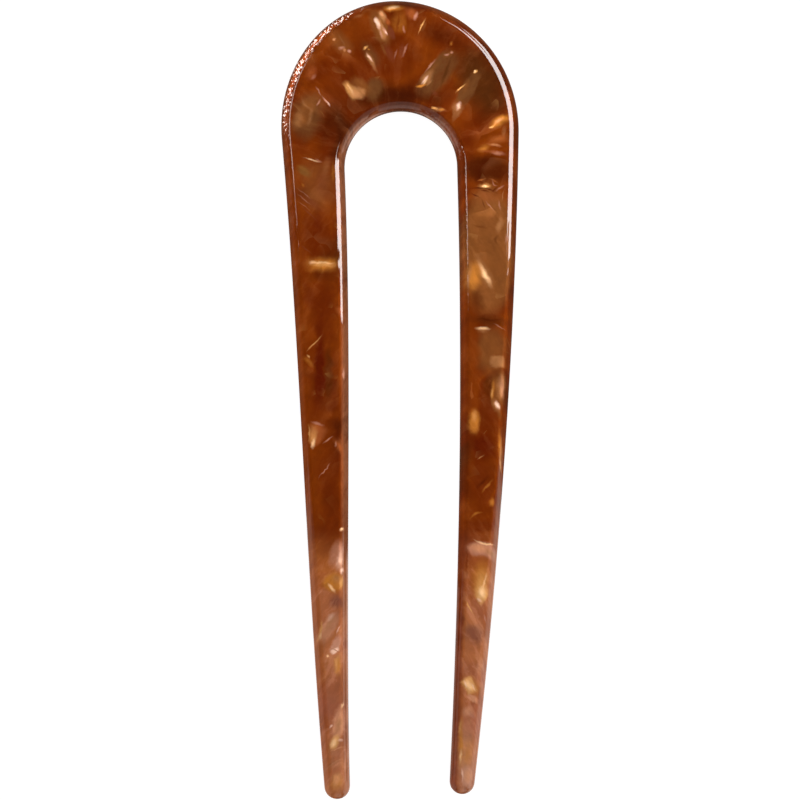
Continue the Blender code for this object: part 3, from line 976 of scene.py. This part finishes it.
def pearl_look(n, place):
    """The acetate's colour, with its painted glints, sheen, rim glow and rim shade, how much it
    gleams, and how its plates lean. Place is in millimetres.
    The swirls run through the sheet at a slant, so each face and the rims show their own cut."""
    height = n.add("SeparateXYZ", {"Vector": place}).outputs["Z"]
    depth = n.maths("SUBTRACT", SHEET_THICKNESS * MM_PER_METRE, height)
    slant = n.joined(n.product(depth, SLANT_SIDEWAYS), n.product(depth, SLANT_UP), depth)
    sunk = n.vectors("ADD", place, slant)
    swirl = n.centred(n.noise(sunk, SWIRL_SCALE).outputs["Color"])
    flow = n.vectors("ADD", sunk, n.scaled(swirl, SWIRL_REACH))
    buried = n.span(depth, *BURIED_FROM, FRONT_SHARE, 1.0)
    fine = n.noise(flow, FINE_SCALE, 4.0, 0.6)
    ripple = n.centred(n.noise(sunk, RIPPLE_SCALE, 3.0, 0.6).outputs["Color"])
    near = n.vectors("ADD", sunk, n.scaled(ripple, RIPPLE_REACH))
    silk = pearl_silk(n, near)
    grain = n.maths("ADD", n.product(silk, 0.45), 0.75)
    lower = n.span(n.along(flow, CROWNWARDS), *LOWER_FROM)
    group = flake_group()
    colour = stirred_base(n, flow, lower)
    colour = lay_flakes(n, TONES, group, near, 1.0, colour)
    colour, plates, leaning = pearl_plates(n, flow, buried, colour)
    colour = painted_pearl_glints(n, flow, buried, colour)
    colour = painted_pearl_sheen(n, lower, silk, colour)
    colour = painted_rim_glow_and_shade(n, place, lower, silk, colour)
    edgy = n.centred(fine.outputs["Color"])
    bent = n.vectors("ADD", n.scaled(ripple, EDGE_WAVES), n.scaled(edgy, EDGE_FRAYS))
    crisp = n.vectors("ADD", sunk, bent)
    ground = colour
    for flakes in (CROWN_FLAKES, LEFT_FLAKES, RIGHT_FLAKES):
        colour = lay_flakes(n, flakes, group, crisp, grain, colour)
    redder = n.along(n.vectors("SUBTRACT", colour, ground), (1.0, 0.0, 0.0))
    gleam = n.maths("MAXIMUM", n.span(redder, 0.0, 0.45), plates)
    mottle = n.span(fine.outputs["Fac"], 0.3, 0.7, 0.93, 1.07, smooth=False)
    # the silk's light and dark streaks: the pearl's grain, and partly a painted sheen
    contrast = n.blended(lower, UPPER_STREAKS, LOWER_STREAKS)
    streaks = n.product(n.maths("SUBTRACT", silk, 0.5), contrast)
    shade = n.product(mottle, n.maths("ADD", streaks, 1.0))
    return n.scaled(colour, shade), gleam, ripple, plates, leaning


def leaning_normal(n, gleam, ripple, plates, leaning):
    """The surface's normal, leant over where the acetate gleams, so that each plate of pearl
    catches the light at its own angle."""
    normal = n.vectors("ADD", n.facing(), n.scaled(ripple, n.product(gleam, FLAKE_LEAN)))
    normal = n.vectors("ADD", normal, n.scaled(leaning, n.product(plates, PLATE_LEAN)))
    return n.vectors("NORMALIZE", normal)


def polish_normal(n, place):
    """The lacquer-smooth outer skin: slow hand-polished waves, and small facets that the file left
    on the rims that face left, most of all on the crown."""
    facing = n.facing()
    on_rim = n.span(n.maths("ABSOLUTE", n.along(facing, FRONTWARDS)), 0.9995, 0.97)
    leftward = n.span(n.along(facing, LEFTWARDS), 0.05, 0.3)
    up = n.along(place, CROWNWARDS)
    outside = n.span(n.along(place, RIGHTWARDS), *OUTSIDE_FROM)
    on_crown = n.product(n.span(up, *CROWN_FILED_FROM), outside)
    most = n.blended(outside, GAP_FILING, OUTER_FILING)
    on_prongs = n.product(n.span(up, *PRONGS_FILED_FROM), most)
    filed = n.product(on_rim, leftward, n.maths("MAXIMUM", on_crown, on_prongs))
    waves = n.noise(place, POLISH_WAVE_SCALE, 1.0).outputs["Fac"]
    sockets = {"Height": n.product(waves, POLISH_WAVE_DEPTH), "Distance": 1.0 / MM_PER_METRE}
    polished = n.add("Bump", sockets | {"Strength": 1.0}).outputs["Normal"]
    own, _ = n.cells(place, FILE_FACET_SIZE)
    facets = n.scaled(n.centred(own), n.product(filed, FILE_FACET_LEAN))
    return n.vectors("NORMALIZE", n.vectors("ADD", polished, facets))


def skin_gloss(n, place):
    """Full gloss nearly everywhere, and less on the left prong's outer rim and on the rims that
    face left low on both prongs."""
    facing = n.facing()
    leftward = n.span(n.along(facing, LEFTWARDS), 0.0, 0.1)
    outside = n.span(n.along(place, RIGHTWARDS), *OUTSIDE_FROM)
    up = n.along(place, CROWNWARDS)
    below = n.product(outside, n.span(up, *OUTER_RIM_DULL_FROM))
    low = n.span(up, *LOW_RIMS_DULL_FROM)
    dull = n.product(leftward, n.maths("MAXIMUM", below, low))
    return n.blended(dull, 1.0, DULL_RIM_GLOSS)


def acetate_material():
    """Polished pearl acetate."""
    material = bpy.data.materials.new("pearl_acetate")
    material.use_nodes = True
    n = Nodes(material.node_tree)
    finish = material.node_tree.nodes["Principled BSDF"].inputs
    place = n.scaled(n.add("TexCoord").outputs["Object"], MM_PER_METRE)
    colour, gleam, ripple, plates, leaning = pearl_look(n, place)
    n.feed(finish["Base Color"], colour)
    n.feed(finish["Normal"], leaning_normal(n, gleam, ripple, plates, leaning))
    n.feed(finish["Coat Normal"], polish_normal(n, place))
    n.feed(finish["Metallic"], n.span(gleam, 0.0, 0.8, 0.12, 0.45, smooth=False))
    n.feed(finish["Roughness"], n.span(gleam, 0.0, 0.8, 0.45, 0.33, smooth=False))
    n.feed(finish["Coat Weight"], skin_gloss(n, place))
    finish["Specular IOR Level"].default_value = 0.0
    finish["Coat Roughness"].default_value = COAT_ROUGHNESS
    return material


def make_pin():
    """The pin's skin in place of the plain solid."""
    pin = bpy.data.objects.new("pearl_pin", pin_mesh())
    bpy.context.scene.collection.objects.link(pin)
    pin.data.materials.append(acetate_material())
    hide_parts("pin_body")
    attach(pin, "root")


def table_material():
    """A white light table: it glows a little, so that what lies on it casts hardly a shadow."""
    material = bpy.data.materials.new("white_table")
    material.use_nodes = True
    finish = material.node_tree.nodes["Principled BSDF"].inputs
    finish["Base Color"].default_value = (0.2, 0.2, 0.2, 1.0)
    finish["Roughness"].default_value = 0.9
    finish["Specular IOR Level"].default_value = 0.0
    finish["Emission Color"].default_value = (1.0, 1.0, 1.0, 1.0)
    finish["Emission Strength"].default_value = 0.95
    return material


def make_table():
    """The table's top, level with the pin's back face."""
    half = 2.0
    corners = [(-half, -half, 0.0), (half, -half, 0.0), (half, half, 0.0), (-half, half, 0.0)]
    mesh = bpy.data.meshes.new("white_table")
    mesh.from_pydata(corners, [], [(0, 1, 2, 3)])
    mesh.materials.append(table_material())
    table = bpy.data.objects.new("white_table", mesh)
    bpy.context.scene.collection.objects.link(table)
    table.visible_glossy = False


class Softbox(NamedTuple):
    """A rectangular lamp. Long is its level side and tall its other one, and a lamp that faces
    straight down has its long side along X. Lights says what it lights: a gloss lamp is only for
    reflections, and a fill lamp never shows in them."""

    name: str
    place: tuple
    aim: tuple
    long: float
    tall: float
    radiance: float
    lights: str
    colour: tuple = (1.0, 1.0, 1.0)


WARM = (1.0, 0.84, 0.74)
PINK = (1.0, 0.86, 0.80)
SOFTBOXES = (
    Softbox("right_softbox", (0.489, 0.345, 0.534), (0.174, 0.345, 0.0), 0.61, 0.3, 16.0, "gloss"),
    Softbox("top_softbox", (0.231, 0.213, 0.686), (-0.174, 0.213, 0.0), 0.294, 0.3, 16.0, "gloss"),
    Softbox("left_softbox", (-0.215, 0.15, 0.7), (0.0, 0.15, 0.0), 0.18, 0.12, 8.5, "gloss", PINK),
    Softbox("low_lamp", (-0.46, 0.4, 0.2), (0.0, 0.04, 0.0), 0.4, 0.36, 32.0, "gloss", PINK),
    Softbox("top_card", (0.0, -0.365, 0.5), (0.0, -0.365, 0.0), 1.4, 0.6, 0.7, "gloss", WARM),
    Softbox("right_card", (0.6, -0.35, 0.15), (0.0, -0.1, 0.0), 0.6, 0.5, 2.0, "gloss", WARM),
    Softbox("left_card", (-0.6, -0.35, 0.15), (0.0, -0.1, 0.0), 0.6, 0.5, 2.0, "gloss", WARM),
    Softbox("right_glow", (0.35, -0.35, -0.25), (0.0, -0.35, 0.0), 0.6, 0.6, 1.2, "gloss", WARM),
    Softbox("left_glow", (-0.35, -0.35, -0.25), (0.0, -0.35, 0.0), 0.6, 0.6, 1.2, "gloss", WARM),
    Softbox("front_card", (0.0, -0.65, 0.2), (0.0, 0.0, 0.2), 0.6, 0.6, 0.9, "gloss"),
    Softbox("top_fill", (0.2, 0.3, 1.2), (0.0, 0.0, 0.0), 1.2, 1.2, 1.06, "fill"),
)
SIDE_FILLS = {"right": (0.9, 0.0), "left": (-0.9, 0.0), "back": (0.0, 0.9), "front": (0.0, -0.9)}


def make_softbox(box):
    """The lamp in its place, facing what it is aimed at."""
    lamp = bpy.data.lights.new(box.name, "AREA")
    lamp.shape = "RECTANGLE"
    lamp.color = box.colour
    lamp.size = box.long
    lamp.size_y = box.tall
    lamp.energy = box.radiance * math.pi * box.long * box.tall
    stand = bpy.data.objects.new(box.name, lamp)
    stand.location = box.place
    stand.rotation_mode = "QUATERNION"
    towards = Vector(box.aim) - Vector(box.place)
    stand.rotation_quaternion = towards.to_track_quat("-Z", "Y")
    stand.visible_diffuse = box.lights != "gloss"
    stand.visible_glossy = box.lights != "fill"
    bpy.context.scene.collection.objects.link(stand)


def make_camera():
    """Straight above the pin, with the crown at the top of the picture."""
    lens = bpy.data.cameras.new("camera")
    lens.lens = LENS_MM
    lens.sensor_width = SENSOR_MM
    camera = bpy.data.objects.new("camera", lens)
    distance = VIEW_WIDTH * LENS_MM / SENSOR_MM
    camera.location = (0.0, 0.0, SHEET_THICKNESS / 2 + distance)
    bpy.context.scene.collection.objects.link(camera)
    bpy.context.scene.camera = camera


def make_world():
    """A dim, warm room with a darker ceiling."""
    world = bpy.data.worlds.new("studio")
    bpy.context.scene.world = world
    world.use_nodes = True
    n = Nodes(world.node_tree)
    way = n.add("TexCoord").outputs["Generated"]
    height = n.add("SeparateXYZ", {"Vector": way}).outputs["Z"]
    colour = n.ramp(height, ((0.25, (0.16, 0.11, 0.08)), (0.9, (0.02, 0.02, 0.02))))
    n.feed(world.node_tree.nodes["Background"].inputs["Color"], colour)


make_pin()
make_table()
make_camera()
for box in SOFTBOXES:
    make_softbox(box)
for side, (x, y) in SIDE_FILLS.items():
    make_softbox(Softbox(side + "_fill", (x, y, 0.4), (0.0, 0.0, 0.0), 0.9, 0.5, 1.33, "fill"))
make_world()
bpy.context.scene.view_settings.view_transform = "Standard"
